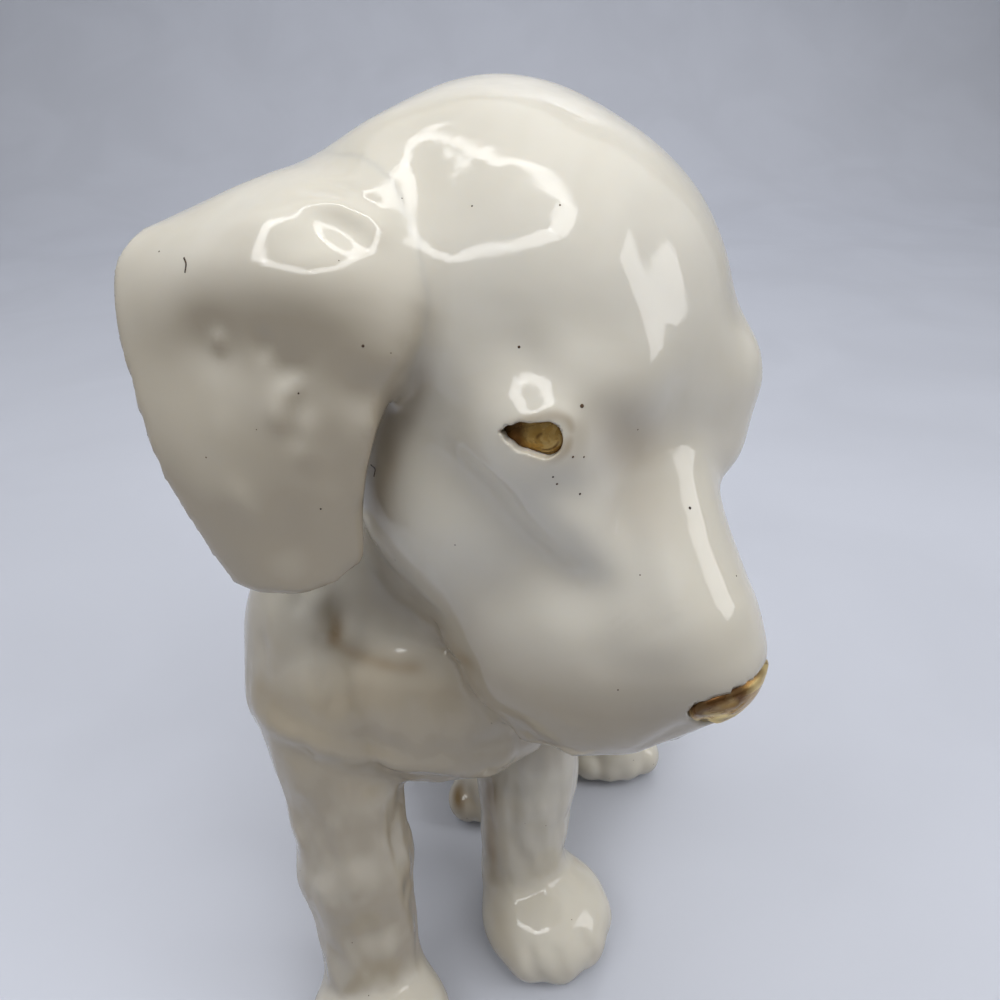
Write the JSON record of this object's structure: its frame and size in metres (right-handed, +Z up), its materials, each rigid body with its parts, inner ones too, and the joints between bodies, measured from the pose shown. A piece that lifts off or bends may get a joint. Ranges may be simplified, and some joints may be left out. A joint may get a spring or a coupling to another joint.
{
  "type": "porcelain dog figurine",
  "caption": "Seated porcelain puppy with hanging ears, a bowed and turned head, and gilded eyes and nose.",
  "frame": {"origin": "on the flat seat under the rump, in the plane of the surface it stands on", "axes": "+Z up, -Y the way the body faces, +X towards the puppy's left side"},
  "size_m": [0.1083, 0.1553, 0.1738],
  "materials": {
    "porcelain": "clear high-gloss glaze over ivory porcelain",
    "gilding": "brushed-on gold lustre over the glaze"
  },
  "bodies": {
    "root": {"body_casting": "porcelain", "head_casting": "porcelain", "right_ear": "porcelain", "left_ear": "porcelain", "right_front_leg": "porcelain", "left_front_leg": "porcelain", "right_hind_foot": "porcelain", "left_hind_foot": "porcelain", "tail": "porcelain", "right_eye": "gilding", "left_eye": "gilding", "nose": "gilding"}
  },
  "joints": []
}
